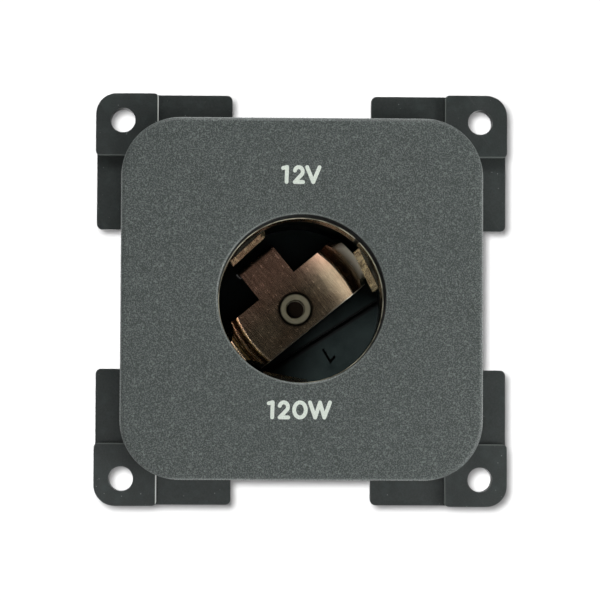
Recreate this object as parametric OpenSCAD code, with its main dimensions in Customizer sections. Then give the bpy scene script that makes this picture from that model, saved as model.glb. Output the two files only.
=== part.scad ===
// Flush 12 V power socket for a vehicle panel.
// A square cover plate snaps over a moulded frame with four screw ears. Behind it a round housing
// holds a split metal sleeve with three spring tongues, and a riveted centre contact on its floor.
// Local axes while drawing: x to the right, y up, z out of the panel towards the user.
// The origin is on the socket's axis, in the plane where the ears lie on the panel.

/* [Front plate] */
// Width and height of the square front plate
plate_w = 46.5; // [45.5:0.1:48]
// Corner radius of the front plate
plate_corner_r = 7.6; // [6:0.1:8.5]
// Height of the plate's face above the panel
plate_face_z = 6.7; // [6:0.1:9]
// Thickness of the plate's face
plate_t = 1.6; // [1.2:0.1:2]
// Thickness of the plate's skirt
skirt_t = 1.3; // [1:0.1:1.5]
// Radius of the rounded edge between face and skirt
plate_edge_r = 0.6; // [0.3:0.05:1]
// Running gap between the skirt and the ear pads
plate_gap = 0.3; // [0.1:0.05:0.6]
// Radius of the round opening in the plate
opening_r = 10.8; // [10.75:0.05:11]
// Radius of the rounded edge of the opening
opening_edge_r = 0.35; // [0.1:0.05:0.6]
// Wall of the collar behind the opening
collar_t = 1.2; // [0.9:0.05:1.3]

/* [Snap fit] */
// Width of each snap barb inside the skirt
snap_w = 8; // [5:0.5:12]
// Reach of each snap barb into its window
snap_reach = 0.6; // [0.3:0.05:0.9]
// Height of each snap barb
snap_h = 1.1; // [0.8:0.05:1.4]
// Clearance between pieces that slide into each other
slide_gap = 0.15; // [0.1:0.01:0.2]

/* [Mounting frame] */
// Reach of the ears beyond the front plate
ear_reach = 3.5; // [3:0.1:5]
// Outer corner radius of the ears
ear_corner_r = 2.7; // [1:0.1:3.2]
// Side length of each raised screw pad
pad_w = 8.1; // [7:0.1:9]
// Thickness of the screw pads
pad_t = 2.2; // [1.8:0.1:2.8]
// Radius of the small corners of the pads
pad_corner_r = 0.6; // [0.2:0.05:0.8]
// Thickness of the arms and of the web
arm_t = 1.4; // [1:0.1:1.7]
// Step between the pad's outer side and the arm's outer side
arm_inset = 0.15; // [0.05:0.05:0.4]
// Radius at the free ends of the arms
arm_end_r = 0.7; // [0.3:0.1:1.2]
// Width of the notch in the middle of each side
notch_w = 18.1; // [13:0.1:22]
// Distance from the middle of a screw hole to the ears' outer sides
hole_edge = 3.5; // [3.2:0.1:3.8]
// Radius of the screw holes
screw_hole_r = 1.6; // [1.2:0.05:1.8]
// Wall of the ring that the skirt fits over
ring_t = 1.3; // [1:0.1:1.8]
// Step from the ring's outer side in to the neck's outer side
neck_step = 0.3; // [0.2:0.05:1]
// Wall of the neck
neck_t = 1.5; // [1:0.1:2]
// Depth of the neck and of the hub behind the panel
neck_d = 5; // [3:0.1:8]
// Wall of the hub round the housing
hub_t = 1.25; // [0.9:0.05:1.6]
// Thickness of the ribs between hub and neck
rib_t = 1.2; // [0.8:0.1:2]

/* [Socket housing] */
// Wall of the housing round its cavity
housing_wall = 1.7; // [1.5:0.05:1.9]
// Radius of the front flange
flange_r = 15.6; // [15:0.1:17]
// Thickness of the front flange
flange_t = 1.4; // [1:0.1:1.6]
// Depth of the housing behind the panel
housing_d = 40; // [38:0.5:48]
// Thickness of the rear floor
floor_t = 2.6; // [2:0.1:3.2]
// Thickness of the ledge under the centre contact
ledge_t = 2.8; // [2:0.1:4]
// Reach of the housing's snap barbs over the hub
housing_snap_reach = 0.9; // [0.5:0.05:1.1]
// Length of the housing's snap barbs
housing_snap_l = 1.8; // [1:0.1:3]
// Width of the housing's snap barbs
housing_snap_w = 4; // [2:0.5:6]
// Width of the key that stops the housing turning
key_w = 2.4; // [1.5:0.1:4]
// Width of the groove moulded across the ledge
groove_w = 0.45; // [0.2:0.05:0.8]
// Depth of the groove moulded across the ledge
groove_d = 1.2; // [0.2:0.1:1.6]

/* [Ground sleeve] */
// Inner radius of the sleeve, where the plug goes
bore_r = 10.7; // [10.5:0.05:10.75]
// Thickness of the sleeve's sheet metal
sleeve_t = 0.5; // [0.4:0.05:0.55]
// Depth of the sleeve's rim below the plate's face
rim_depth = 6.5; // [6:0.1:7]
// Length of the straight wall of the sleeve
sleeve_wall_l = 5; // [4:0.1:8]
// Outer radius of the sleeve's flange
sleeve_flange_r = 11.95; // [11.75:0.05:12]
// Width of the seam in the sleeve
seam_w = 0.7; // [0.3:0.1:1.5]
// Direction of the seam
seam_angle = 47; // [47:1:90]
// Width of each spring tongue
tongue_w = 6; // [4:0.1:6.2]
// Length of each spring tongue
tongue_l = 7.5; // [5:0.1:12]
// How far each spring tongue leans inwards at its free end
tongue_lean = 0.45; // [0.1:0.05:0.9]
// Room behind the spring tongues, out to the wall of the cavity
tongue_room = 0.6; // [0.55:0.05:0.8]
// Width of the strap down to the ground terminal
strap_w = 5; // [3:0.1:6]
// Step from the sleeve's wall out to the strap
strap_step = 0.3; // [0.2:0.05:0.4]
// Length of the strap behind the housing
strap_tail = 5; // [4.5:0.1:6]

/* [Centre contact] */
// Depth of the contact's face below the plate's face
contact_depth = 37.5; // [36:0.1:38.5]
// Thickness of the contact's sheet metal
contact_t = 0.7; // [0.5:0.05:0.8]
// Direction of the contact's long bar
contact_angle = 39.3; // [30:0.1:50]
// Half length of the bar, to the inner faces of the wings
bar_half_l = 8.75; // [7.5:0.05:8.9]
// Shift of the bar along its own length
bar_shift = 0.2; // [0:0.05:0.3]
// Lower side of the bar, measured from the rivet
bar_low = 3.55; // [3:0.05:4]
// Upper side of the bar, measured from the rivet
bar_high = 4.3; // [4.2:0.05:4.6]
// Radius of the curved ends of the bar
bar_end_r = 16; // [12:0.5:20]
// Height of the upturned wings
wing_h = 8.5; // [7.5:0.1:9]
// Lean of the upright part of the wings, in degrees
wing_lean = 4; // [1:0.5:5]
// Radius of the lip that the wings end in, on its outer side
lip_r = 0.9; // [0.6:0.05:1]
// Radius at the upper corners of the wings
wing_corner_r = 3.5; // [1:0.1:3.8]
// Inner radius where the sheet is folded
fold_r = 0.9; // [0.5:0.05:1.1]
// Distance from the rivet to the outer face of the folded stem
stem_end = 9.35; // [8.8:0.05:9.8]

/* [Terminals] */
// Width of the blade terminals
blade_w = 6.3; // [6:0.1:6.6]
// Thickness of the ground blade
blade_t = 0.8; // [0.6:0.05:0.9]
// Length of the blades behind the housing
blade_l = 9; // [7:0.1:12]
// Chamfer at the tips of the blades
blade_chamfer = 1; // [0.4:0.1:1.5]
// Radius of the hole in each blade
blade_hole_r = 0.9; // [0.5:0.1:1.2]
// Distance from a blade's tip to its hole
blade_hole_tip = 3; // [2.2:0.1:3.4]

/* [Rivets] */
// Radius of the hollow rivet's bore
eyelet_bore_r = 1.3; // [1:0.05:1.4]
// Depth of the hollow rivet's bore, which is closed at the back
eyelet_bore_d = 3; // [1:0.1:3.4]
// Wall of the hollow rivet
eyelet_t = 0.4; // [0.3:0.05:0.5]
// Radius of the hollow rivet's heads
eyelet_head_r = 2.4; // [2:0.05:2.6]
// Height of the hollow rivet's heads
eyelet_head_h = 0.45; // [0.3:0.05:0.6]
// Radius of the round edge of the hollow rivet's heads
eyelet_edge_r = 0.25; // [0.1:0.05:0.28]
// Radius of the washer behind the ledge
washer_r = 3.4; // [2.8:0.1:3.6]
// Thickness of the washer behind the ledge
washer_t = 0.5; // [0.3:0.1:0.8]
// Radius of the ground rivet's shank
rivet_r = 0.9; // [0.7:0.05:1]
// Radius of the ground rivet's heads
rivet_head_r = 1.6; // [1.3:0.1:1.9]
// Height of the ground rivet's heads
rivet_head_h = 0.6; // [0.4:0.05:0.8]
// Distance from the housing to the ground rivet
rivet_drop = 2.6; // [2.2:0.1:3]

/* [Hidden] */
$fn = 96;
// Small overlap that makes cuts run clean through
eps = 0.05;
// Play round a rivet in its hole
rivet_play = 0.05;
// Play round sheet metal in its slot
slot_gap = 0.1;
// Directions of the three spring tongues
TONGUE_ANGLES = [26.5, 133, 259.75];
// Directions of the housing's snap barbs and of the frame's ribs
QUARTERS = [0, 90, 180, 270];
// Direction of the key that stops the housing turning
key_angle = 225;
// Distance from the axis to the groove in the ledge, and its direction
groove_v = 5.4;
groove_angle = 32.5;

// Levels along z, from the front to the back
skirt_end_z = pad_t + plate_gap;
face_back_z = plate_face_z - plate_t;
ring_top_z = face_back_z - plate_gap;
snap_top_z = (skirt_end_z + ring_top_z + snap_h) / 2;
rim_z = plate_face_z - rim_depth;
sleeve_seat_z = rim_z - sleeve_t;
wall_end_z = sleeve_seat_z - sleeve_wall_l;
sleeve_end_z = wall_end_z - sleeve_t;
contact_z = plate_face_z - contact_depth;
ledge_z = contact_z - contact_t;
ledge_back_z = ledge_z - ledge_t;
floor_z = floor_t - housing_d;
blade_end_z = -housing_d - blade_l;

// Sizes across
frame_w = plate_w + 2 * ear_reach;
screw_pitch = frame_w - 2 * hole_edge;
plate_inner_w = plate_w - 2 * skirt_t;
plate_inner_r = plate_corner_r - skirt_t;
ring_w = plate_inner_w - 2 * slide_gap;
ring_corner_r = plate_inner_r - slide_gap;
neck_w = ring_w - 2 * neck_step;
neck_corner_r = ring_corner_r - neck_step;
arm_w = frame_w - 2 * arm_inset;
notch_bottom = plate_inner_w / 2;
collar_r = opening_r + collar_t;
counterbore_r = collar_r + slide_gap;
sleeve_r = bore_r + sleeve_t;
sleeve_pocket_r = sleeve_r + slide_gap;
cavity_r = sleeve_r + tongue_room;
tongue_v = sqrt(bore_r * bore_r - tongue_w * tongue_w / 4) - eps / 2;
housing_r = cavity_r + housing_wall;
hub_bore_r = housing_r + slide_gap;
hub_r = hub_bore_r + hub_t;
strap_v = sleeve_r + strap_step;
strap_back_v = strap_v + sleeve_t;
eyelet_r = eyelet_bore_r + eyelet_t;
ledge_edge_v = bar_high - slot_gap;
rivet_pocket_r = washer_r + slide_gap;

// The rest of the file is in local axes, and this turns it to stand up on the panel
module upright() {
    rotate([90, 0, 0]) children();
}

// Square with round corners, centred
module rounded_square(w, r) {
    square([w - 2 * r, w], center = true);
    square([w, w - 2 * r], center = true);
    for (sx = [-1, 1], sy = [-1, 1])
        translate([sx * (w / 2 - r), sy * (w / 2 - r)]) circle(r);
}

// What is cut away to round a corner that stands at the origin and opens to +x and +y
module corner_cut(r) {
    difference() {
        translate([-eps, -eps]) square(r + eps);
        translate([r, r]) circle(r);
    }
}

// Sweeps a profile round a square path with round corners
// The profile's x is measured from the centre of the corner radius, and its y is the height
module sweep_square(w, r) {
    for (a = QUARTERS) rotate(a) {
        translate([w / 2 - r, 0, 0]) rotate([90, 0, 0])
            linear_extrude(w - 2 * r, center = true) children();
        translate([w / 2 - r, w / 2 - r, 0]) rotate_extrude(angle = 90) children();
    }
}

// Round tube between two levels
module tube(outer_r, inner_r, low_z, high_z) {
    translate([0, 0, low_z]) difference() {
        cylinder(high_z - low_z, r = outer_r);
        translate([0, 0, -eps]) cylinder(high_z - low_z + 2 * eps, r = inner_r);
    }
}

// Cylinder between two levels
module disc(r, low_z, high_z) {
    translate([0, 0, low_z]) cylinder(high_z - low_z, r = r);
}

// Box from its lowest to its highest corner
module box(low, high) {
    translate(low) cube(high - low);
}

// Turns to the directions of the contact: x along its bar, y along its stem
module along_contact() {
    rotate(contact_angle) children();
}

// Wedge of a snap barb that reaches towards +x and catches on its lower side
module snap_wedge(reach, height, width) {
    rotate([90, 0, 0]) linear_extrude(width, center = true)
        polygon([[-eps, 0], [reach, 0], [reach, height * 0.35], [0, height], [-eps, height]]);
}

module front_plate() {
    color([0.33, 0.35, 0.34]) upright() difference() {
        union() {
            // Face, inside the rounded edge
            translate([0, 0, face_back_z]) linear_extrude(plate_t)
                rounded_square(plate_w - 2 * plate_edge_r, plate_corner_r - plate_edge_r);
            // Skirt with the rounded edge
            sweep_square(plate_w, plate_corner_r) difference() {
                translate([plate_inner_r, skirt_end_z])
                    square([skirt_t, plate_face_z - skirt_end_z]);
                translate([plate_corner_r, plate_face_z]) rotate(180) corner_cut(plate_edge_r);
            }
            // Collar that holds the sleeve down
            disc(collar_r, rim_z, face_back_z + eps);
            // Snap barbs, in the middle of each side
            for (a = QUARTERS) rotate(a)
                translate([plate_inner_w / 2, 0, snap_top_z]) rotate([180, 0, 180])
                    snap_wedge(snap_reach, snap_h, snap_w);
        }
        disc(opening_r, rim_z - eps, plate_face_z + eps);
        // Rounded edge of the opening
        rotate_extrude() translate([opening_r, plate_face_z]) rotate(-90) corner_cut(opening_edge_r);
    }
}

// Outline of the arms and the web, with a notch in the middle of each side
module arms_outline() {
    difference() {
        rounded_square(arm_w, ear_corner_r - arm_inset);
        for (a = QUARTERS) rotate(a) {
            translate([notch_bottom, -notch_w / 2]) square([arm_w, notch_w]);
            for (s = [-1, 1])
                translate([arm_w / 2, s * notch_w / 2]) mirror([0, s < 0 ? 1 : 0])
                    rotate(90) corner_cut(arm_end_r);
        }
    }
}

// Outline of one screw pad, for the corner at +x and +y
module pad_outline() {
    translate([frame_w / 2, frame_w / 2]) rotate(180) difference() {
        square(pad_w);
        corner_cut(ear_corner_r);
        translate([pad_w, 0]) rotate(90) corner_cut(pad_corner_r);
        translate([pad_w, pad_w]) rotate(180) corner_cut(pad_corner_r);
        translate([0, pad_w]) rotate(-90) corner_cut(pad_corner_r);
    }
}

// Hole for the housing, with the keyway that its key slides into
module hub_hole_outline() {
    circle(hub_bore_r);
    rotate(key_angle) translate([0, -key_w / 2 - slide_gap])
        square([hub_bore_r + hub_t / 2, key_w + 2 * slide_gap]);
}

module mounting_frame() {
    color([0.2, 0.22, 0.22]) upright() difference() {
        union() {
            linear_extrude(arm_t) difference() {
                arms_outline();
                hub_hole_outline();
            }
            for (a = QUARTERS) rotate(a) linear_extrude(pad_t) pad_outline();
            // Ring that the plate's skirt fits over
            translate([0, 0, arm_t - eps]) linear_extrude(ring_top_z - arm_t + eps) difference() {
                rounded_square(ring_w, ring_corner_r);
                rounded_square(ring_w - 2 * ring_t, ring_corner_r - ring_t);
            }
            // Neck that finds its place in the panel's cut-out
            translate([0, 0, -neck_d]) linear_extrude(neck_d + eps) difference() {
                rounded_square(neck_w, neck_corner_r);
                rounded_square(neck_w - 2 * neck_t, neck_corner_r - neck_t);
            }
            // Hub round the housing, and its ribs
            translate([0, 0, -neck_d]) linear_extrude(neck_d + eps) difference() {
                circle(hub_r);
                hub_hole_outline();
            }
            for (a = QUARTERS) rotate(a)
                box([hub_r - hub_t / 2, -rib_t / 2, -neck_d], [neck_w / 2 - neck_t / 2, rib_t / 2, eps]);
        }
        // Screw holes
        for (sx = [-1, 1], sy = [-1, 1])
            translate([sx * screw_pitch / 2, sy * screw_pitch / 2, 0])
                disc(screw_hole_r, -eps, pad_t + eps);
        // Windows for the plate's snap barbs
        for (a = QUARTERS) rotate(a)
            box([ring_w / 2 - ring_t - eps, -snap_w / 2 - slide_gap, snap_top_z - snap_h - slide_gap],
                [ring_w / 2 + eps, snap_w / 2 + slide_gap, snap_top_z + slide_gap / 2]);
    }
}

// Half plane on the stem's side of the ledge, between two levels
module stem_side(low_z, high_z) {
    along_contact() box([-cavity_r, ledge_edge_v, low_z], [cavity_r, cavity_r, high_z]);
}

module socket_housing() {
    color([0.16, 0.19, 0.19]) upright() {
        difference() {
            union() {
                disc(housing_r, -housing_d, arm_t + eps);
                disc(flange_r, arm_t, arm_t + flange_t);
                // Snap barbs that catch behind the frame's hub
                for (a = QUARTERS) rotate(a) translate([housing_r, 0, -neck_d])
                    mirror([0, 0, 1]) snap_wedge(housing_snap_reach, housing_snap_l, housing_snap_w);
                // Key in the hub
                rotate(key_angle) box([0, -key_w / 2, -neck_d], [housing_r + hub_t / 2, key_w / 2, arm_t]);
            }
            // Seats of the plate's collar and of the sleeve
            disc(counterbore_r, sleeve_seat_z, arm_t + flange_t + eps);
            disc(sleeve_pocket_r, sleeve_end_z, sleeve_seat_z + eps);
            // Cavity down to the ledge, and the deeper well beside it
            disc(cavity_r, ledge_z, sleeve_end_z + eps);
            intersection() {
                disc(cavity_r, floor_z, ledge_z + eps);
                stem_side(floor_z, ledge_z + eps);
            }
            // Channel for the sleeve's strap, and its slot through to the back
            along_contact() {
                box([-strap_w / 2 - slot_gap, -strap_back_v - slot_gap, ledge_z],
                    [strap_w / 2 + slot_gap, -bore_r, wall_end_z + 2 * sleeve_t]);
                box([-strap_w / 2 - slot_gap, -strap_back_v - slot_gap, -housing_d - eps],
                    [strap_w / 2 + slot_gap, -strap_v + slot_gap, ledge_z + eps]);
            }
            // Slot for the folded stem
            along_contact() box([-blade_w / 2 - slot_gap, stem_end - contact_t - slot_gap, -housing_d - eps],
                [blade_w / 2 + slot_gap, stem_end + slot_gap, floor_z + eps]);
            // Rivet hole, and the pocket behind it
            disc(eyelet_r + rivet_play, ledge_back_z - eps, ledge_z + eps);
            disc(rivet_pocket_r, -housing_d - eps, ledge_back_z);
            // Groove across the ledge
            rotate(groove_angle) box([-cavity_r, -groove_v - groove_w / 2, ledge_z - groove_d],
                [cavity_r, -groove_v + groove_w / 2, ledge_z + eps]);
        }
    }
}

// Straight wall of the sleeve as a profile, with its flange and the round edge between them
module sleeve_profile() {
    difference() {
        union() {
            translate([bore_r, sleeve_end_z]) square([sleeve_t, rim_z - sleeve_end_z]);
            translate([bore_r, sleeve_seat_z]) square([sleeve_flange_r - bore_r, sleeve_t]);
        }
        translate([bore_r, rim_z]) rotate(-90) corner_cut(sleeve_t);
    }
}

// One spring tongue, at +x, that grows from the end of the wall and bends inwards below it
module spring_tongue() {
    root_z = sleeve_end_z + 3 * eps;
    bend_z = sleeve_end_z - sleeve_t / 2;
    tip_v = tongue_v - tongue_lean;
    rotate([90, 0, 0]) linear_extrude(tongue_w, center = true) polygon([
        [tongue_v, root_z], [tongue_v, bend_z], [tip_v, bend_z - tongue_l],
        [tip_v + sleeve_t, bend_z - tongue_l], [tongue_v + sleeve_t, bend_z], [tongue_v + sleeve_t, root_z]]);
}

module ground_sleeve() {
    color([0.72, 0.68, 0.58]) upright() {
        difference() {
            rotate_extrude() sleeve_profile();
            rotate(seam_angle) box([0, -seam_w / 2, sleeve_end_z - eps],
                [sleeve_flange_r + eps, seam_w / 2, rim_z + eps]);
        }
        for (a = TONGUE_ANGLES) rotate(a) spring_tongue();
        // Strap to the ground terminal, with a joggle out of the wall
        along_contact() difference() {
            union() {
                box([-strap_w / 2, -strap_back_v, -housing_d - strap_tail],
                    [strap_w / 2, -strap_v, wall_end_z + sleeve_t]);
                box([-strap_w / 2 + sleeve_t, -strap_v - sleeve_t / 2, wall_end_z],
                    [strap_w / 2 - sleeve_t, -bore_r - sleeve_t / 4, wall_end_z + sleeve_t]);
            }
            ground_rivet_shaft(rivet_r + rivet_play);
        }
    }
}

// Part of a flat ring between two directions
module ring_sector(inner_r, outer_r, from_angle, to_angle) {
    reach = 2 * outer_r;
    intersection() {
        difference() {
            circle(outer_r);
            circle(inner_r);
        }
        polygon([[0, 0], reach * [cos(from_angle), sin(from_angle)],
            reach * [cos(to_angle), sin(to_angle)]]);
    }
}

// Section of one wing, with x = 0 at its inner face and y = 0 at the bar's face
// A flat strip leads into a fold, an upright part that leans outwards, and then a lip that curls out
module wing_section() {
    lip_angle = 80;
    straight_l = wing_h - fold_r - lip_r - contact_t;
    translate([-2 * fold_r, -contact_t]) square([fold_r + eps, contact_t]);
    translate([-fold_r, fold_r]) rotate(-wing_lean) {
        ring_sector(fold_r, fold_r + contact_t, wing_lean - 90, 0);
        translate([fold_r, -eps]) square([contact_t, straight_l + 2 * eps]);
        translate([fold_r + contact_t + lip_r, straight_l])
            ring_sector(lip_r, lip_r + contact_t, 180 - lip_angle, 180);
    }
}

// Points along a quarter circle, from one direction to the next
function quarter_points(centre, r, from_angle, steps) =
    [for (i = [0:steps]) centre + r * [cos(from_angle + 90 * i / steps), sin(from_angle + 90 * i / steps)]];

// Outline of the wings seen along the bar, with round upper corners
module wing_outline() {
    corner_z = wing_h - wing_corner_r;
    polygon(concat([[-bar_low, -2 * contact_t], [bar_high, -2 * contact_t]],
        quarter_points([bar_high - wing_corner_r, corner_z], wing_corner_r, 0, 12),
        quarter_points([wing_corner_r - bar_low, corner_z], wing_corner_r, 90, 12)));
}

// One wing at +x, not yet cut to the width of the bar
module wing() {
    margin_angle = 5;
    span = asin(bar_high / bar_end_r) + margin_angle;
    translate([bar_half_l - bar_end_r, 0, 0]) rotate(-span) rotate_extrude(angle = 2 * span)
        translate([bar_end_r, 0]) wing_section();
}

// Bar with its two upturned wings, cut from one strip with round upper corners
module contact_bar() {
    // The flat part ends on the strips that lead into the folds
    flat_r = bar_end_r - 1.5 * fold_r;
    intersection() {
        union() {
            translate([0, 0, -contact_t]) linear_extrude(contact_t) intersection() {
                translate([bar_half_l - bar_end_r, 0]) circle(flat_r);
                translate([bar_end_r - bar_half_l, 0]) circle(flat_r);
            }
            wing();
            mirror([1, 0, 0]) wing();
        }
        rotate([90, 0, 90]) linear_extrude(2 * cavity_r, center = true) wing_outline();
    }
}

// Stem that folds down through the floor and ends as the positive blade
module contact_stem() {
    bend_v = stem_end - contact_t;
    translate([-blade_w / 2, 0, -contact_t]) cube([blade_w, bend_v, contact_t]);
    translate([-blade_w / 2, bend_v, -contact_t]) rotate([0, 90, 0]) linear_extrude(blade_w)
        intersection() {
            translate([-contact_t, -eps]) square([contact_t + eps, contact_t + eps]);
            circle(contact_t);
        }
    translate([0, bend_v, -contact_t]) blade(blade_w, contact_t, ledge_z - blade_end_z);
}

// Blade that points down from z = 0, with its chamfered tip and its hole, in the x-z plane
module blade(width, thickness, length) {
    rotate([-90, 0, 0]) linear_extrude(thickness) difference() {
        polygon([[-width / 2, 0], [width / 2, 0], [width / 2, length - blade_chamfer],
            [width / 2 - blade_chamfer, length], [-width / 2 + blade_chamfer, length],
            [-width / 2, length - blade_chamfer]]);
        translate([0, length - blade_hole_tip]) circle(blade_hole_r);
    }
}

module centre_contact() {
    color([0.55, 0.47, 0.4]) upright() along_contact() translate([0, 0, contact_z])
        difference() {
            union() {
                translate([bar_shift, 0, 0]) contact_bar();
                contact_stem();
            }
            disc(eyelet_r + rivet_play, -contact_t - eps, eps);
        }
}

// Half section of a flat rivet head with a round edge, with y = 0 where it lies on the sheet
module head_section() {
    difference() {
        square([eyelet_head_r, eyelet_head_h]);
        translate([eyelet_head_r, eyelet_head_h]) rotate(180) corner_cut(eyelet_edge_r);
    }
}

module centre_rivet() {
    back_z = ledge_back_z - washer_t;
    mouth_r = 0.12;
    color([0.8, 0.79, 0.76]) upright() rotate_extrude() difference() {
        union() {
            translate([0, back_z]) square([eyelet_r, contact_z - back_z]);
            translate([0, contact_z]) head_section();
            translate([0, back_z]) mirror([0, 1]) head_section();
        }
        // Bore from the front, with its round mouth
        translate([-eps, contact_z - eyelet_bore_d])
            square([eyelet_bore_r + eps, eyelet_bore_d + eyelet_head_h + eps]);
        translate([eyelet_bore_r, contact_z + eyelet_head_h]) rotate(-90) corner_cut(mouth_r);
    }
}

module rivet_washer() {
    color([0.7, 0.7, 0.7]) upright()
        tube(washer_r, eyelet_r + rivet_play, ledge_back_z - washer_t, ledge_back_z);
}

// Shaft through the strap and the ground blade, along the contact's y axis
module ground_rivet_shaft(r) {
    translate([0, -strap_back_v - eps, -housing_d - rivet_drop]) rotate([-90, 0, 0])
        cylinder(sleeve_t + blade_t + 2 * eps, r = r);
}

module ground_terminal() {
    top_gap = 0.6;
    color([0.78, 0.7, 0.45]) upright() along_contact() difference() {
        translate([0, -strap_v, -housing_d - top_gap]) blade(blade_w, blade_t, blade_l - top_gap);
        ground_rivet_shaft(rivet_r + rivet_play);
    }
}

module ground_rivet() {
    color([0.75, 0.75, 0.74]) upright() along_contact() {
        translate([0, -strap_back_v, -housing_d - rivet_drop]) rotate([-90, 0, 0]) {
            cylinder(sleeve_t + blade_t, r = rivet_r);
            translate([0, 0, -rivet_head_h]) cylinder(rivet_head_h, r1 = rivet_head_r * 0.7, r2 = rivet_head_r);
            translate([0, 0, sleeve_t + blade_t]) cylinder(rivet_head_h, r1 = rivet_head_r, r2 = rivet_head_r * 0.7);
        }
    }
}

front_plate();
mounting_frame();
socket_housing();
ground_sleeve();
centre_contact();
centre_rivet();
rivet_washer();
ground_terminal();
ground_rivet();
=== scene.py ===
# Looks of a flush 12 V power socket: materials, printed ratings, stage, lamps and camera.
# Row frame, in metres: -Y points out of the panel, +Z up, +X right, origin on the socket's axis.
import math

import bpy
from mathutils import Matrix, Vector


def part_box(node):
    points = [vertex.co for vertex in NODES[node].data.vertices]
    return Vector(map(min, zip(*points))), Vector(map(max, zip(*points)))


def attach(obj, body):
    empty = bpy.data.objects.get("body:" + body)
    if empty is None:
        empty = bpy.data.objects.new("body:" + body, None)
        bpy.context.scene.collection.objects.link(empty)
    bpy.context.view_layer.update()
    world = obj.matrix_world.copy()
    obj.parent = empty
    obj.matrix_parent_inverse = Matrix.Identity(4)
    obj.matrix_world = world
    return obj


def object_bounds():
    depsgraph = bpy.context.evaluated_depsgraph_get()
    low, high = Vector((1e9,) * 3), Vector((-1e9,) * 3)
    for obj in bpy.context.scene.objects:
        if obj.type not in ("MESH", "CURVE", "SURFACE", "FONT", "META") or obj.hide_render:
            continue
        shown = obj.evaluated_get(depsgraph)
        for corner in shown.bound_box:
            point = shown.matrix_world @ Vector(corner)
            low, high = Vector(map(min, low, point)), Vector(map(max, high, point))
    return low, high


MM = 0.001

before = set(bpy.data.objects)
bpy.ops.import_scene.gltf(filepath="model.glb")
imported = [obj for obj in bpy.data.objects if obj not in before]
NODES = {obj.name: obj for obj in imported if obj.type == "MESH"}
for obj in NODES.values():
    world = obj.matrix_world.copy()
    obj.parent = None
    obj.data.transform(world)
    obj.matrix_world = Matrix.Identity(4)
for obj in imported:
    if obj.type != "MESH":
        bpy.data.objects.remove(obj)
CAD_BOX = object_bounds()

FACE_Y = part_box("front_plate")[0].y
SLEEVE_FRONT_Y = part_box("ground_sleeve")[0].y
# Values of the part's source that the materials follow
OPENING_R = 10.8 * MM
SLEEVE_R = 10.7 * MM
# End of the sleeve's straight wall, where the spring tongues start
SLEEVE_END_Y = SLEEVE_FRONT_Y + 6.0 * MM
CAVITY_R = 11.8 * MM
LEDGE_Y = 31.5 * MM
# Groove in the ledge, beside the contact: its direction and its distance from the axis
GROOVE_ANGLE = 32.5
GROOVE_V = 5.4 * MM
# Direction of the contact's bar, and its lower edge across that direction
BAR_ANGLE = 39.3
BAR_LOW = -3.55 * MM
# Radii of the rivet's head and bore, and a depth just past the bore's closed end
EYELET_R = 2.4 * MM
BORE_R = 1.3 * MM
BORE_END_Y = 34.3 * MM
# Inner sides and front face of the ears' pads
PAD_EDGE = 18.65 * MM
PAD_Y = -2.2 * MM
# Depth at which the curled lip of the contact's wings ends
LIP_Y = 22.5 * MM
# Distance from the middle where the outer rim of the front plate starts, which is smoother and painted
# lighter as a highlight
PLATE_RIM = 23.0 * MM

# Strength of the cubic bump towards the contact's right wing
BAR_RISE = 1350.0

# Photograph's frame
IMAGE_PX = 600
FACE_PX_PER_MM = 7.815
CAMERA_DISTANCE = 320 * MM
CAMERA_LEFT = 8.0 * MM
CAMERA_DOWN = 13.4 * MM
FACE_CENTRE_PX = (302.1, 298.3)
ROLL_DEG = 0.25
CAMERA_PLACE = Vector((-CAMERA_LEFT, FACE_Y - CAMERA_DISTANCE, -CAMERA_DOWN))

# Light levels: watts of the lamps, strength of the dome and how far it leans to the right
KEY_POWER = 0.46
TOP_POWER = 0.86
LOWER_CARD_POWER = 0.37
UPPER_CARD_POWER = 2.2
RIGHT_CARD_POWER = 0.06
RIVET_CARD_POWER = 0.17
TONGUE_CARD_POWER = 1.6
SHADOW_POWER = 28.0
DOME_LEVEL = 0.27
DOME_DARK = 0.048
DOME_LEAN = 0.35
BACK_POWER = 4.0
# Angles from the camera's side at which the dome starts to brighten and is fully bright
DOME_DARK_DEG = 25
DOME_BRIGHT_DEG = 50
# Distance of the cards from the part, and place beside the camera and radius of the shadow lamp
CARD_REACH = 0.5
SHADOW_LAMP_SHIFT = Vector((-3.6 * MM, 0, 3.6 * MM))
SHADOW_LAMP_R = 4 * MM

# Stage: grey of each plane and how much it glows for the camera, and where the planes stand
BACKDROP_TONE, BACKDROP_GLOW = 0.18, 0.05
FLOOR_TONE, FLOOR_GLOW = 0.85, 0.1
FLOOR_Z = -46 * MM
BACKDROP_GAP = 4 * MM
STAGE_REACH = 600 * MM


def srgb(r, g, b):
    """Linear colour of an 8-bit sRGB colour."""

    def linear(c):
        c /= 255
        return c / 12.92 if c <= 0.04045 else ((c + 0.055) / 1.055) ** 2.4

    return linear(r), linear(g), linear(b), 1.0


# Materials


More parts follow.
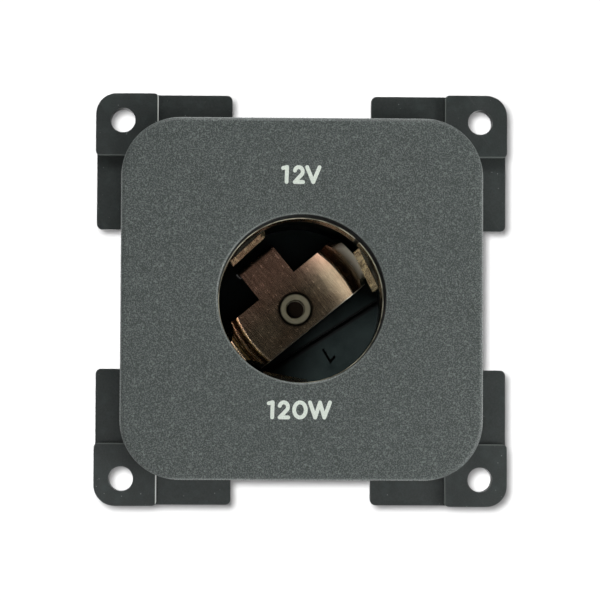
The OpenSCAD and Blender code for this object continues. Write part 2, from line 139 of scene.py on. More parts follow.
class Nodes:
    """Small helper that adds and links shader nodes of one material."""

    def __init__(self, name):
        self.material = bpy.data.materials.new(name)
        self.material.use_nodes = True
        self.tree = self.material.node_tree
        self.tree.nodes.clear()
        self.output = self.tree.nodes.new("ShaderNodeOutputMaterial")
        self.place = self.tree.nodes.new("ShaderNodeTexCoord").outputs["Object"]

    def link(self, source, target):
        self.tree.links.new(source, target)

    def add(self, kind, **settings):
        node = self.tree.nodes.new(kind)
        for name, value in settings.items():
            setattr(node, name, value)
        return node

    def noise(self, size, detail=2.0, roughness=0.5, place=None):
        """Noise whose grains are about size metres across."""
        node = self.add("ShaderNodeTexNoise")
        node.inputs["Scale"].default_value = 1 / size
        node.inputs["Detail"].default_value = detail
        node.inputs["Roughness"].default_value = roughness
        self.link(place or self.place, node.inputs["Vector"])
        return node.outputs["Fac"]

    def cells(self, size, output="Distance"):
        """Voronoi cells of about size metres."""
        node = self.add("ShaderNodeTexVoronoi")
        node.inputs["Scale"].default_value = 1 / size
        self.link(self.place, node.inputs["Vector"])
        return node.outputs[output]

    def axes(self, turn=None):
        """X, Y and Z of the place, where turn is an angle round the socket's axis in degrees."""
        node = self.add("ShaderNodeSeparateXYZ")
        place = self.place if turn is None else self.stretched((1, 1, 1), (0, turn, 0))
        self.link(place, node.inputs["Vector"])
        return node.outputs["X"], node.outputs["Y"], node.outputs["Z"]

    def axis_distance(self):
        """Distance from the socket's axis."""
        flat = self.add("ShaderNodeVectorMath", operation="MULTIPLY")
        flat.inputs[1].default_value = (1, 0, 1)
        self.link(self.place, flat.inputs[0])
        length = self.add("ShaderNodeVectorMath", operation="LENGTH")
        self.link(flat.outputs["Vector"], length.inputs[0])
        return length.outputs["Value"]

    def stretched(self, scale, turn=(0, 0, 0)):
        """Coordinates turned by angles in degrees and scaled along each axis."""
        node = self.add("ShaderNodeMapping", vector_type="POINT")
        turned = self.add("ShaderNodeMapping", vector_type="POINT")
        turned.inputs["Rotation"].default_value = [math.radians(a) for a in turn]
        node.inputs["Scale"].default_value = scale
        self.link(self.place, turned.inputs["Vector"])
        self.link(turned.outputs["Vector"], node.inputs["Vector"])
        return node.outputs["Vector"]

    def ramp(self, source, *stops):
        """Colour ramp through (position, colour or grey) stops."""
        node = self.add("ShaderNodeValToRGB")
        elements = node.color_ramp.elements
        while len(elements) < len(stops):
            elements.new(0.5)
        for element, (position, colour) in zip(elements, stops):
            element.position = position
            element.color = colour if isinstance(colour, tuple) else (colour, colour, colour, 1)
        self.link(source, node.inputs["Fac"])
        return node.outputs["Color"]

    def span(self, source, low, high, from_low, from_high):
        """Maps a range of the source to low and high, and holds both past its ends."""
        node = self.add("ShaderNodeMapRange")
        node.inputs["From Min"].default_value = from_low
        node.inputs["From Max"].default_value = from_high
        node.inputs["To Min"].default_value = low
        node.inputs["To Max"].default_value = high
        self.link(source, node.inputs["Value"])
        return node.outputs["Result"]

    def below(self, source, limit, soft):
        """1 up to the limit, and 0 from a soft margin past it."""
        return self.span(source, 1, 0, limit, limit + soft)

    def above(self, source, limit, soft):
        """0 up to the limit, and 1 from a soft margin past it."""
        return self.span(source, 0, 1, limit, limit + soft)

    def line(self, source, place):
        """Thin line where the source lies at or just past a place, as for a painted highlight along an
        edge.
        """
        starts = self.above(source, place - 0.1 * MM, 0.05 * MM)
        return self.product(starts, self.below(source, place + 0.1 * MM, 0.06 * MM))

    def product(self, first, second, *more):
        """Product of two or more values."""
        result = self.maths("MULTIPLY", first, second)
        for value in more:
            result = self.maths("MULTIPLY", result, value)
        return result

    def maths(self, operation, first, second):
        node = self.add("ShaderNodeMath", operation=operation)
        for socket, value in zip(node.inputs, (first, second)):
            if isinstance(value, (int, float)):
                socket.default_value = value
            else:
                self.link(value, socket)
        return node.outputs["Value"]

    def mix(self, factor, first, second):
        """Colour between two colours."""
        node = self.add("ShaderNodeMix", data_type="RGBA")
        pairs = ((node.inputs["Factor"], factor), (node.inputs[6], first), (node.inputs[7], second))
        for socket, value in pairs:
            if isinstance(value, (int, float, tuple)):
                socket.default_value = value
            else:
                self.link(value, socket)
        return node.outputs[2]

    def bump(self, height, strength, distance, normal=None):
        node = self.add("ShaderNodeBump")
        node.inputs["Strength"].default_value = strength
        node.inputs["Distance"].default_value = distance
        self.link(height, node.inputs["Height"])
        if normal:
            self.link(normal, node.inputs["Normal"])
        return node.outputs["Normal"]

    def surface(self, **sockets):
        """Principled surface with its sockets set or linked by name, as in base_color."""
        node = self.add("ShaderNodeBsdfPrincipled")
        for name, value in sockets.items():
            socket = node.inputs[name.replace("_", " ").title().replace("Ior", "IOR")]
            if isinstance(value, (int, float, tuple)):
                socket.default_value = value
            else:
                self.link(value, socket)
        self.link(node.outputs["BSDF"], self.output.inputs["Surface"])
        return self.material


def plate_plastic():
    """Spark-eroded anthracite plastic with fine metallic flakes and smoother rubbed edges, with painted
    highlights on the opening's edge and outer rim and painted shade on the opening's wall.
    """
    m = Nodes("plate_plastic")
    x, depth, z = m.axes()
    radius = m.axis_distance()
    near_face = m.below(depth, FACE_Y + 0.2 * MM, 0.1 * MM)
    # Painted highlight: the rubbed, smoother edge of the opening is also painted paler.
    worn_edge_highlight = m.product(m.span(radius, 0.3, 0, OPENING_R + 0.12 * MM, OPENING_R + 0.25 * MM), near_face)
    # Painted shade: the opening's wall is painted nearly black and made rougher.
    opening_wall_shade = m.product(
        m.below(radius, OPENING_R + 0.1 * MM, 0.1 * MM),
        m.above(depth, FACE_Y + 0.2 * MM, 0.2 * MM),
    )
    outer = m.maths("MAXIMUM", m.maths("ABSOLUTE", x, 0), m.maths("ABSOLUTE", z, 0))
    # Painted highlight: the plate's outer rim is painted lighter; it is also smoother and less grainy.
    rim_highlight = m.above(outer, PLATE_RIM, 0.2 * MM)

    grain = m.noise(0.155 * MM, detail=0)
    patches = m.noise(11 * MM, detail=2)
    split = m.add("ShaderNodeSeparateColor")
    m.link(m.cells(0.22 * MM, output="Color"), split.inputs["Color"])
    glint = m.span(split.outputs["Red"], 0, 1, 0.93, 0.96)
    base = m.ramp(grain, (0.30, srgb(53, 58, 56)), (0.5, srgb(70, 76, 74)), (0.70, srgb(97, 103, 101)))
    base = m.mix(m.span(patches, 0, 0.12, 0.35, 0.65), base, srgb(62, 71, 69))
    base = m.mix(m.product(glint, 0.3), base, srgb(150, 158, 155))
    base = m.mix(m.product(worn_edge_highlight, 1.2), base, srgb(146, 152, 148))
    base = m.mix(m.product(opening_wall_shade, 0.95), base, srgb(5, 6, 6))
    base = m.mix(m.product(rim_highlight, 0.35), base, srgb(150, 156, 153))

    smooth = m.maths("ADD", worn_edge_highlight, m.product(rim_highlight, 0.2))
    roughness = m.maths("SUBTRACT", m.span(grain, 0.42, 0.6, 0.3, 0.7), smooth)
    height = m.product(grain, m.maths("SUBTRACT", 1.0, m.product(rim_highlight, 0.8)))
    return m.surface(
        base_color=base,
        roughness=m.maths("ADD", roughness, m.product(opening_wall_shade, 0.4)),
        metallic=m.product(glint, 0.5),
        specular_ior_level=0.4,
        normal=m.bump(height, 1.0, 0.045 * MM),
    )


def frame_plastic():
    """Smooth satin anthracite plastic with specks, dust and handling marks, and painted highlights along
    the inner edges of its pads.
    """
    m = Nodes("frame_plastic")
    specks = m.noise(0.22 * MM, detail=3, roughness=0.65)
    haze = m.noise(4 * MM, detail=3)
    clouds = m.noise(1.3 * MM, detail=3)
    marks = m.noise(0.5 * MM, detail=3, place=m.stretched((1, 1, 0.12), (0, 35, 20)))
    base = m.ramp(specks, (0.3, srgb(41, 46, 45)), (0.7, srgb(53, 57, 56)))
    base = m.mix(m.span(marks, 0, 0.35, 0.62, 0.72), base, srgb(66, 70, 69))
    base = m.mix(m.span(clouds, 0, 0.5, 0.5, 0.7), base, srgb(58, 66, 64))
    dust = m.product(m.span(m.cells(0.9 * MM), 0.6, 0, 0.05, 0.1), m.span(clouds, 0, 1, 0.45, 0.6))
    base = m.mix(dust, base, srgb(150, 156, 152))

    x, depth, z = m.axes()
    on_pad = m.below(depth, PAD_Y + 0.2 * MM, 0.15 * MM)
    # Painted highlight: a paler line along the inner edges of every pad.
    lines = [m.line(m.maths("ABSOLUTE", side, 0), PAD_EDGE) for side in (x, z)]
    base = m.mix(m.product(m.maths("MAXIMUM", *lines), on_pad, 0.45), base, srgb(120, 126, 122))
    # Painted highlight: a brighter line along the right-hand edges of the left pads.
    left_pad_highlight = m.line(m.product(x, -1.0), PAD_EDGE)
    base = m.mix(m.product(left_pad_highlight, on_pad, 0.8), base, srgb(226, 230, 224))

    roughness = m.maths("ADD", m.span(haze, 0.30, 0.44, 0.3, 0.7), m.span(marks, 0, 0.12, 0.6, 0.75))
    height = m.maths("ADD", m.product(specks, 0.35), haze)
    return m.surface(
        base_color=base,
        roughness=roughness,
        specular_ior_level=0.5,
        normal=m.bump(height, 0.18, 0.05 * MM),
    )


def housing_plastic():
    """Dark moulded plastic with a faint drawn texture along the axis, and painted shade in the groove of
    its ledge.
    """
    m = Nodes("housing_plastic")
    haze = m.noise(2.5 * MM, detail=4)
    specks = m.noise(0.2 * MM, detail=3, roughness=0.65)
    drawn = m.noise(0.5 * MM, detail=2, place=m.stretched((1, 0.06, 1)))
    base = m.ramp(haze, (0.3, srgb(22, 33, 33)), (0.7, srgb(30, 43, 42)))
    base = m.mix(m.span(specks, 0, 0.3, 0.55, 0.75), base, srgb(44, 58, 56))

    _, depth, across = m.axes(GROOVE_ANGLE)
    from_groove = m.maths("ABSOLUTE", m.maths("ADD", across, GROOVE_V), 0)
    # Painted shade: the groove in the ledge is painted nearly black.
    groove_shade = m.span(from_groove, 0.95, 0, 0.36 * MM, 0.6 * MM)
    inside = m.below(m.axis_distance(), CAVITY_R + 0.2 * MM, 0.4 * MM)
    near_ledge = m.below(depth, LEDGE_Y + 1.5 * MM, 0.5 * MM)
    base = m.mix(m.product(groove_shade, inside, near_ledge), base, srgb(6, 8, 8))

    height = m.maths("ADD", drawn, m.product(specks, 0.3))
    return m.surface(
        base_color=base,
        roughness=m.span(haze, 0.3, 0.45, 0.3, 0.7),
        specular_ior_level=0.12,
        normal=m.bump(height, 0.2, 0.05 * MM),
    )


def sheet_metal(name, dark, light, rough, lines=(1, 0.04, 1), turn=(0, 0, 0)):
    """Rolled sheet metal with fine lines along one direction and a slight uneven tone."""
    m = Nodes(name)
    base, roughness, normal = metal_skin(m, dark, light, rough, m.stretched(lines, turn), 0.25)
    return m.surface(base_color=base, metallic=1.0, roughness=roughness, normal=normal)


def metal_skin(m, dark, light, rough, along, strength):
    """Colour, roughness and normal of rolled metal whose lines follow the coordinates given."""
    brushed = m.noise(0.12 * MM, detail=3, roughness=0.6, place=along)
    tone = m.noise(3.5 * MM, detail=3)
    stains = m.noise(0.9 * MM, detail=4, roughness=0.6)
    base = m.mix(m.span(tone, 0, 1, 0.3, 0.7), dark, light)
    base = m.mix(m.span(brushed, 0, 0.3, 0.45, 0.8), base, dark)
    fine = m.span(brushed, rough - 0.07, rough + 0.07, 0.3, 0.7)
    roughness = m.maths("ADD", fine, m.span(stains, 0, 0.08, 0.45, 0.75))
    return base, roughness, m.bump(brushed, strength, 0.01 * MM)


def contact_metal():
    """Bronze sheet, brushed along the stem, with scratches and painted shade round the rivet.

    Its colour reddens along the stem, and painted highlights make the bar's lower edge and the right wing's
    lip pale. A slow bump towards the right wing gives the bar the bright end that it has in the photograph.
    """
    m = Nodes("contact_metal")
    brushed_along = m.stretched((1, 1, 0.05), (0, BAR_ANGLE, 0))
    base, roughness, brushed = metal_skin(m, *BRONZE, 0.18, brushed_along, 0.16)
    along, _, across = m.axes(BAR_ANGLE)
    _, depth, _ = m.axes()
    in_well = m.below(depth, LEDGE_Y, 1.5 * MM)
    on_stem = m.span(across, 0, 0.85, 1 * MM, 6 * MM)
    base = m.mix(m.product(on_stem, in_well), base, srgb(250, 196, 168))
    # Painted shade: a dark ring round the rivet's head.
    rivet_shade_ring = m.span(m.axis_distance(), 0.95, 0, EYELET_R, EYELET_R + 0.3 * MM)
    base = m.mix(rivet_shade_ring, base, srgb(24, 20, 16))
    # Painted highlights: the right wing's lip and the bar's lower edge are painted pale and made less
    # metallic.
    lip_highlight = m.product(m.below(depth, LIP_Y, 1.2 * MM), m.above(along, 5 * MM, 2 * MM))
    low_edge_highlight = m.product(m.span(across, 0.8, 0, BAR_LOW + 0.08 * MM, BAR_LOW + 0.16 * MM), in_well)
    pale = m.maths("MAXIMUM", lip_highlight, low_edge_highlight)
    base = m.mix(pale, base, srgb(255, 248, 226))

    scratches = m.noise(0.1 * MM, detail=2, place=m.stretched((0.06, 1, 1), (0, 15, 0)))
    rise = m.maths("MAXIMUM", m.maths("SUBTRACT", along, 1 * MM), 0.0)
    height = m.product(m.maths("POWER", rise, 3.0), BAR_RISE)
    return m.surface(
        base_color=base,
        metallic=m.maths("SUBTRACT", 1.0, m.product(pale, 0.9)),
        roughness=m.maths("ADD", roughness, m.span(scratches, 0, 0.15, 0.68, 0.74)),
        normal=m.bump(height, 1.0, 1.0, brushed),
    )


def sleeve_metal():
    """Plated sleeve painted dark as shade, with pale gold on the spring tongues that is partly rubbing and
    partly painted highlight, and painted highlights at its front and rear edges.
    """
    m = Nodes("sleeve_metal")
    base, roughness, normal = metal_skin(m, *SHADED_NICKEL, 0.16, m.stretched((1, 0.04, 1)), 0.12)
    _, depth, _ = m.axes()
    radius = m.axis_distance()
    streaks = m.noise(0.5 * MM, detail=3, place=m.stretched((1, 0.05, 1)))
    on_tongue = m.product(
        m.below(radius, SLEEVE_R + 0.05 * MM, 0.1 * MM),
        m.above(depth, SLEEVE_END_Y, 0.5 * MM),
    )
    # The tongues' pale gold streaks are partly rubbing and partly a painted highlight.
    rubbed_and_highlit = m.product(on_tongue, m.span(streaks, 0.45, 1, 0.4, 0.6))
    base = m.mix(rubbed_and_highlit, base, m.mix(m.span(streaks, 0, 1, 0.35, 0.65), *GOLD))

    # Painted highlights: pale lines along the sleeve's front and rear inner edges, broken by noise.
    front_line = m.below(depth, SLEEVE_FRONT_Y + 0.4 * MM, 0.1 * MM)
    rear_line = m.span(depth, 0, 0.3, SLEEVE_END_Y - 0.4 * MM, SLEEVE_END_Y - 0.3 * MM)
    inner = m.below(radius, SLEEVE_R + 0.2 * MM, 0.1 * MM)
    rim_highlight = m.product(m.maths("MAXIMUM", front_line, rear_line), inner)
    broken = m.span(m.noise(2.2 * MM), 0.3, 1, 0.4, 0.6)
    base = m.mix(m.product(rim_highlight, broken), base, srgb(196, 192, 170))
    return m.surface(
        base_color=base,
        metallic=m.maths("SUBTRACT", 1.0, m.product(m.maths("MAXIMUM", rubbed_and_highlit, rim_highlight), 0.7)),
        roughness=roughness,
        # Dim tint of the reflections, which keeps the sleeve dark as painted shade.
        specular_tint=srgb(120, 112, 84),
        normal=normal,
    )


def rivet_metal():
    """Plated rivet, with painted brown shade inside its bore and painted shade at its outer edge."""
    m = Nodes("rivet_metal")
    base, roughness, normal = metal_skin(m, *PLATED, 0.5, m.stretched((1, 0.04, 1)), 0.12)
    _, depth, _ = m.axes()
    radius = m.axis_distance()
    # Painted shade: the bore is painted dark brown, up to just past its closed end.
    bore_shade = m.span(radius, 0.995, 0, BORE_R - 0.12 * MM, BORE_R + 0.02 * MM)
    base = m.mix(m.product(bore_shade, m.below(depth, BORE_END_Y, 0.2 * MM)), base, srgb(40, 28, 16))
    # Painted shade: the outer edge of the rivet's head is painted dark.
    outer_edge_shade = m.span(radius, 0, 0.98, EYELET_R - 0.42 * MM, EYELET_R - 0.22 * MM)
    base = m.mix(outer_edge_shade, base, srgb(26, 22, 16))
    return m.surface(
        base_color=base,
        metallic=0.4,
        roughness=roughness,
        specular_ior_level=0.12,
        normal=normal,
    )


def print_ink():
    """Pale print with slightly uneven cover."""
    m = Nodes("print_ink")
    cover = m.noise(0.16 * MM, detail=3)
    base = m.ramp(cover, (0.25, srgb(186, 194, 186)), (0.6, srgb(214, 222, 212)))
    return m.surface(base_color=base, roughness=0.55, normal=m.bump(cover, 0.2, 0.01 * MM))


def figure_shade():
    """Moulded figure painted darker than its plastic as shade, and rougher."""
    m = Nodes("figure_shade")
    specks = m.noise(0.1 * MM, detail=3)
    base = m.ramp(specks, (0.3, srgb(9, 11, 11)), (0.7, srgb(20, 24, 23)))
    return m.surface(base_color=base, roughness=0.7, normal=m.bump(specks, 0.3, 0.02 * MM))


def stage_surface(name, tone, glow):
    """Pale stage that keeps the object's shadow, shows from its front only and glows for the camera."""
    m = Nodes(name)
    diffuse = m.add("ShaderNodeBsdfDiffuse")
    diffuse.inputs["Color"].default_value = (tone, tone, tone, 1)
    light = m.add("ShaderNodeEmission")
    light.inputs["Strength"].default_value = glow
    both = m.add("ShaderNodeAddShader")
    m.link(diffuse.outputs[0], both.inputs[0])
    m.link(light.outputs[0], both.inputs[1])
    rays = m.add("ShaderNodeLightPath")
    seen = m.add("ShaderNodeMixShader")
    m.link(rays.outputs["Is Camera Ray"], seen.inputs[0])
    m.link(diffuse.outputs[0], seen.inputs[1])
    m.link(both.outputs[0], seen.inputs[2])
    clear = m.add("ShaderNodeBsdfTransparent")
    sided = m.add("ShaderNodeMixShader")
    m.link(m.add("ShaderNodeNewGeometry").outputs["Backfacing"], sided.inputs[0])
    m.link(seen.outputs[0], sided.inputs[1])
    m.link(clear.outputs[0], sided.inputs[2])
    m.link(sided.outputs[0], m.output.inputs["Surface"])
    return m.material


# Dark and light tone of each metal
BRONZE = (srgb(150, 127, 102), srgb(190, 171, 142))
# The sleeve's nickel is painted far darker than plated metal is, as painted shade.
SHADED_NICKEL = (srgb(30, 27, 22), srgb(46, 42, 34))
GOLD = (srgb(190, 168, 112), srgb(226, 206, 150))
PLATED = (srgb(196, 190, 160), srgb(232, 226, 200))
BRASS = (srgb(176, 140, 78), srgb(212, 178, 112))

MATERIALS = {
    "front_plate": plate_plastic(),
    "mounting_frame": frame_plastic(),
    "socket_housing": housing_plastic(),
    "ground_sleeve": sleeve_metal(),
    "centre_contact": contact_metal(),
    "centre_rivet": rivet_metal(),
    "rivet_washer": sheet_metal("washer_metal", *PLATED, rough=0.35),
    "ground_terminal": sheet_metal(
        "blade_metal", *BRASS, rough=0.3, lines=(0.05, 1, 1), turn=(0, BAR_ANGLE, 0)
    ),
    "ground_rivet": sheet_metal("ground_rivet_metal", *PLATED, rough=0.32),
}

# Width of the softened edges of the moulded and pressed pieces
EDGE_WIDTHS = {
    "front_plate": 0.15 * MM,
    "mounting_frame": 0.12 * MM,
    "socket_housing": 0.12 * MM,
    "ground_sleeve": 0.14 * MM,
    "centre_contact": 0.06 * MM,
    "centre_rivet": 0.02 * MM,
    "rivet_washer": 0.05 * MM,
    "ground_terminal": 0.06 * MM,
    "ground_rivet": 0.05 * MM,
}


def dress(name, piece):
    """Gives a CAD node its material and soft edges."""
    piece.data.materials.clear()
    piece.data.materials.append(MATERIALS[name])
    merge = piece.modifiers.new("merge_flat_faces", "DECIMATE")
    merge.decimate_type = "DISSOLVE"
    merge.angle_limit = math.radians(0.5)
    bevel = piece.modifiers.new("soft_edges", "BEVEL")
    bevel.width = EDGE_WIDTHS[name]
    bevel.segments = 2
    bevel.limit_method = "ANGLE"
    bevel.angle_limit = math.radians(35)
    bevel.harden_normals = True


for node_name, node_piece in NODES.items():
    dress(node_name, node_piece)


# Printed ratings and the moulded figure, as raised pen strokes with round ends


def arc(centre, radius, from_deg, to_deg, steps=16):
    """Points along an arc, with one radius for x and one for y."""
    points = []
    for i in range(steps + 1):
        a = math.radians(from_deg + (to_deg - from_deg) * i / steps)
        points.append((centre[0] + radius[0] * math.cos(a), centre[1] + radius[1] * math.sin(a)))
    return points


# Strokes in a box from 0 to 1 each way, and whether each closes
GLYPHS = {
    "1": [([(0.0, 0.93), (1.0, 1.0)], False), ([(1.0, 1.0), (0.88, 0.0)], False)],
    "2": [
        (arc((0.5, 0.70), (0.46, 0.30), 168, -38) + [(0.04, 0.0)], False),
        ([(0.04, 0.0), (1.0, 0.0)], False),
    ],
    "0": [(arc((0.5, 0.5), (0.5, 0.5), 0, 360, 40)[:-1], True)],
    "V": [([(0.0, 1.0), (0.5, 0.0)], False), ([(0.5, 0.0), (1.0, 1.0)], False)],
    "W": [
        ([(0.0, 1.0), (0.26, 0.0)], False),
        ([(0.26, 0.0), (0.5, 1.0)], False),
        ([(0.5, 1.0), (0.72, 0.0)], False),
        ([(0.72, 0.0), (1.0, 1.0)], False),
    ],
}


def cross_sections(points, closed, half):
    """Middle, sideways direction and half width at each point of a pen line, with round ends."""
    count = len(points)
    lines = [Vector(p) for p in points]
    sections = []
    for i, here in enumerate(lines):
        before = lines[i - 1] if closed or i > 0 else None
        after = lines[(i + 1) % count] if closed or i < count - 1 else None
        first = (here - before).normalized() if before is not None else (after - here).normalized()
        second = (after - here).normalized() if after is not None else first
        sides = [Vector((-d.y, d.x)) for d in (first, second)]
        middle = (sides[0] + sides[1]).normalized()
        sections.append((here, middle, half / max(middle.dot(sides[0]), 0.35)))
    if closed:
        return sections
    head, tail = [], []
    start_way = (lines[0] - lines[1]).normalized()
    end_way = (lines[-1] - lines[-2]).normalized()
    for step in range(1, 6):
        a = math.radians(17.5 * step)
        reach, width = half * math.sin(a), half * math.cos(a)
        head.insert(0, (lines[0] + start_way * reach, sections[0][1], width))
        tail.append((lines[-1] + end_way * reach, sections[-1][1], width))
    return head + sections + tail


def add_stroke(vertices, faces, sections, closed, place, rise):
    """Adds one raised stroke; place turns a flat point and a height to the row frame."""
    count = len(sections)
    start = len(vertices)
    for height in (-rise, rise):
        for sign in (1, -1):
            vertices.extend(place(p + side * (half * sign), height) for p, side, half in sections)

    def at(level, side, i):
        return start + (2 * level + side) * count + i % count

    for i in range(count if closed else count - 1):
        faces.append((at(1, 0, i), at(1, 1, i), at(1, 1, i + 1), at(1, 0, i + 1)))
        faces.append((at(0, 0, i + 1), at(0, 1, i + 1), at(0, 1, i), at(0, 0, i)))
        faces.append((at(0, 0, i), at(1, 0, i), at(1, 0, i + 1), at(0, 0, i + 1)))
        faces.append((at(0, 1, i + 1), at(1, 1, i + 1), at(1, 1, i), at(0, 1, i)))
    if not closed:
        last = count - 1
        faces.append((at(0, 1, 0), at(1, 1, 0), at(1, 0, 0), at(0, 0, 0)))
        faces.append((at(0, 0, last), at(1, 0, last), at(1, 1, last), at(0, 1, last)))


# Height of the print's letters, width of their pen and how far they stand proud
PRINT_HEIGHT = 2.42 * MM
PRINT_PEN = 0.5 * MM
PRINT_RISE = 0.02 * MM
# The same for the figure on the ledge: half its pen's width and its rise
FIGURE_HALF_PEN = 0.17 * MM
FIGURE_RISE = 0.08 * MM


def printed_word(name, centre_z, letters):
    """Letters on the plate's face, each with the left side and width of its ink in millimetres."""
    vertices, faces = [], []
    for letter, left, width in letters:
        low = (left * MM + PRINT_PEN / 2, centre_z - PRINT_HEIGHT / 2 + PRINT_PEN / 2)
        size = (width * MM - PRINT_PEN, PRINT_HEIGHT - PRINT_PEN)
        for order, (points, closed) in enumerate(GLYPHS[letter]):
            drawn = [(low[0] + x * size[0], low[1] + y * size[1]) for x, y in points]
            sections = cross_sections(drawn, closed, PRINT_PEN / 2)
            # Each stroke is a little lower than the one before, so no two tops lie in one plane
            rise = PRINT_RISE * (1 - 0.15 * order)
            add_stroke(vertices, faces, sections, closed, lambda p, h: (p.x, FACE_Y - h, p.y), rise)
    return new_piece(name, vertices, faces, print_ink())


def moulded_figure():
    """The small raised figure on the ledge beside the contact."""
    line = [(4.03 * MM, -5.81 * MM), (5.03 * MM, -7.45 * MM), (5.6 * MM, -6.74 * MM)]
    vertices, faces = [], []
    sections = cross_sections(line, False, FIGURE_HALF_PEN)
    add_stroke(vertices, faces, sections, False, lambda p, h: (p.x, LEDGE_Y - h, p.y), FIGURE_RISE)
    return new_piece("ledge_figure", vertices, faces, figure_shade())


def new_piece(name, vertices, faces, material):
    """Adds a mesh to the part, which rides on the root body."""
    mesh = bpy.data.meshes.new(name)
    mesh.from_pydata([tuple(v) for v in vertices], [], faces)
    mesh.validate()
    mesh.materials.append(material)
    piece = bpy.data.objects.new(name, mesh)
    bpy.context.scene.collection.objects.link(piece)
    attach(piece, "root")
    return piece


printed_word(
    "voltage_print",
    15.88 * MM,
    [("1", -2.75, 1.0), ("2", -1.3, 1.6), ("V", 0.33, 2.08)],
)
printed_word(
    "power_print",
    -14.27 * MM,
    [("1", -4.45, 1.0), ("2", -3.1, 1.65), ("0", -1.2, 1.98), ("W", 0.82, 3.05)],
)
moulded_figure()


# Stage, lamps and camera


def stage_plane(name, corners, material):
    """Adds a plane that throws no shadow, so lamps behind it still reach the part."""
    mesh = bpy.data.meshes.new(name)
    mesh.from_pydata(corners, [], [(0, 1, 2, 3)])
    mesh.materials.append(material)
    plane = bpy.data.objects.new(name, mesh)
    plane.visible_shadow = False
    bpy.context.scene.collection.objects.link(plane)
    return plane


def build_stage():
    """A floor under the part and a backdrop behind it; gives back the backdrop."""
    back_y = CAD_BOX[1].y + BACKDROP_GAP
    side = STAGE_REACH
    backdrop = stage_plane(
        "backdrop",
        [(-side, back_y, FLOOR_Z), (side, back_y, FLOOR_Z), (side, back_y, side), (-side, back_y, side)],
        stage_surface("backdrop_white", BACKDROP_TONE, BACKDROP_GLOW),
    )
    stage_plane(
        "floor",
        [(-side, -side, FLOOR_Z), (side, -side, FLOOR_Z), (side, side, FLOOR_Z), (-side, side, FLOOR_Z)],
        stage_surface("floor_white", FLOOR_TONE, FLOOR_GLOW),
    )
    return backdrop


def rectangle_light(name, width, height, power):
    data = bpy.data.lights.new(name, "AREA")
    data.shape = "RECTANGLE"
    data.size = width
    data.size_y = height
    data.energy = power
    return data


def area_lamp(name, place, target, width, height, power):
    """Lamp that points from its place to a target."""
    lamp = bpy.data.objects.new(name, rectangle_light(name, width, height, power))
    lamp.location = place
    lamp.rotation_euler = (Vector(target) - Vector(place)).to_track_quat("-Z", "Y").to_euler()
    bpy.context.scene.collection.objects.link(lamp)


def light_only(lamp, group, pieces):
    """Makes a lamp light the named pieces only."""
    lit = bpy.data.collections.new(group)
    for piece in pieces:
        lit.objects.link(piece)
    lamp.light_linking.receiver_collection = lit


def shadow_lamp(backdrop):
    """Small lamp beside the camera that lights the backdrop alone, for the soft drop shadow."""
    data = bpy.data.lights.new("shadow_lamp", "POINT")
    data.energy = SHADOW_POWER
    data.shadow_soft_size = SHADOW_LAMP_R
    lamp = bpy.data.objects.new("shadow_lamp", data)
    lamp.location = CAMERA_PLACE + SHADOW_LAMP_SHIFT
    bpy.context.scene.collection.objects.link(lamp)
    light_only(lamp, "lit_by_shadow_lamp", [backdrop])


def card(name, azimuth_deg, tilt_deg, along, across, power, *lit):
    """Lamp in front of the plate, tilt_deg off its axis; along is its length round the axis."""
    azimuth = math.radians(azimuth_deg)
    out = math.tan(math.radians(tilt_deg)) * CARD_REACH
    place = Vector((out * math.cos(azimuth), -CARD_REACH, out * math.sin(azimuth)))
    lamp = bpy.data.objects.new(name, rectangle_light(name, along, across, power))
    towards = -place.normalized()
    side = towards.cross(Vector((math.cos(azimuth), 0, math.sin(azimuth)))).normalized()
    turn = Matrix((side, (-towards).cross(side), -towards)).transposed()
    lamp.matrix_world = Matrix.Translation(place) @ turn.to_4x4()
    bpy.context.scene.collection.objects.link(lamp)
    light_only(lamp, "lit_by_" + name, [NODES[n] for n in lit])


def build_lamps():
    """General lamps for the whole part, and cards that give single pieces their highlights."""
    metals = ("ground_sleeve", "centre_contact", "centre_rivet")
    area_lamp("right_key", (0.24, -0.12, -0.07), (0, 0, 0), 0.1, 0.14, KEY_POWER)
    card("lower_left_card", 219, 21.5, 0.14, 0.04, LOWER_CARD_POWER, *metals)
    card("upper_left_card", 135, 24, 0.12, 0.06, UPPER_CARD_POWER, "socket_housing")
    card("left_tongue_card", 305, 32, 0.12, 0.08, TONGUE_CARD_POWER, "ground_sleeve")
    card("right_tongue_card", 205, 32, 0.12, 0.08, TONGUE_CARD_POWER, "ground_sleeve")
    card("rivet_card", 200, 9, 0.04, 0.04, RIVET_CARD_POWER, "centre_rivet")
    card("upper_right_card", 30, 24, 0.06, 0.03, RIGHT_CARD_POWER, *metals)
    area_lamp("top_strip", (-0.02, -0.14, 0.3), (0, 0, 0), 0.2, 0.06, TOP_POWER)
    area_lamp("back_softbox", (-0.1, 0.6, 0.35), (0, 0.02, 0), 0.5, 0.4, BACK_POWER)


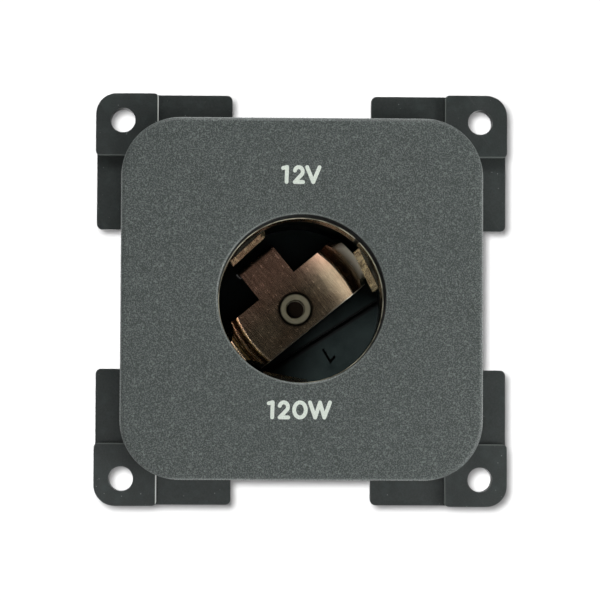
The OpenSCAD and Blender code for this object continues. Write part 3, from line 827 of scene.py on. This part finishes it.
def build_world():
    """A soft dome that is dark round the camera, and white where the camera sees it."""
    world = bpy.data.worlds.new("studio")
    bpy.context.scene.world = world
    world.use_nodes = True
    tree = world.node_tree
    tree.nodes.clear()
    out = tree.nodes.new("ShaderNodeOutputWorld")
    place = tree.nodes.new("ShaderNodeTexCoord").outputs["Generated"]
    split = tree.nodes.new("ShaderNodeSeparateXYZ")
    tree.links.new(place, split.inputs["Vector"])
    dome = tree.nodes.new("ShaderNodeMapRange")
    dome.interpolation_type = "SMOOTHSTEP"
    dome.inputs["From Min"].default_value = -math.cos(math.radians(DOME_DARK_DEG))
    dome.inputs["From Max"].default_value = -math.cos(math.radians(DOME_BRIGHT_DEG))
    dome.inputs["To Min"].default_value = DOME_DARK
    dome.inputs["To Max"].default_value = DOME_LEVEL
    tree.links.new(split.outputs["Y"], dome.inputs["Value"])
    lean = tree.nodes.new("ShaderNodeMath")
    lean.operation = "MULTIPLY_ADD"
    lean.inputs[1].default_value = DOME_LEAN
    lean.inputs[2].default_value = 1
    tree.links.new(split.outputs["X"], lean.inputs[0])
    level = tree.nodes.new("ShaderNodeMath")
    level.operation = "MULTIPLY"
    tree.links.new(dome.outputs["Result"], level.inputs[0])
    tree.links.new(lean.outputs["Value"], level.inputs[1])
    fill = tree.nodes.new("ShaderNodeBackground")
    tree.links.new(level.outputs["Value"], fill.inputs["Strength"])
    white = tree.nodes.new("ShaderNodeBackground")
    white.inputs["Color"].default_value = (1, 1, 1, 1)
    rays = tree.nodes.new("ShaderNodeLightPath")
    mix = tree.nodes.new("ShaderNodeMixShader")
    tree.links.new(rays.outputs["Is Camera Ray"], mix.inputs[0])
    tree.links.new(fill.outputs[0], mix.inputs[1])
    tree.links.new(white.outputs[0], mix.inputs[2])
    tree.links.new(mix.outputs[0], out.inputs["Surface"])


def build_camera():
    """Camera at the photograph's angle, with a small shift that centres the face as there."""
    data = bpy.data.cameras.new("photo_camera")
    camera = bpy.data.objects.new("photo_camera", data)
    bpy.context.scene.collection.objects.link(camera)
    place = CAMERA_PLACE
    face_centre = Vector((0, FACE_Y, 0))
    look = (face_centre - place).normalized()
    camera.location = place
    aim = look.to_track_quat("-Z", "Y").to_matrix().to_4x4()
    roll = Matrix.Rotation(math.radians(ROLL_DEG), 4, "Z")
    camera.matrix_world = Matrix.Translation(place) @ aim @ roll
    field = IMAGE_PX / FACE_PX_PER_MM * MM
    data.lens = data.sensor_width * (face_centre - place).length / field
    data.shift_x = (IMAGE_PX / 2 - FACE_CENTRE_PX[0]) / IMAGE_PX
    data.shift_y = (FACE_CENTRE_PX[1] - IMAGE_PX / 2) / IMAGE_PX
    data.clip_start = 10 * MM
    bpy.context.scene.camera = camera


shadow_lamp(build_stage())
build_lamps()
build_world()
build_camera()

bpy.context.scene.view_settings.view_transform = "Standard"
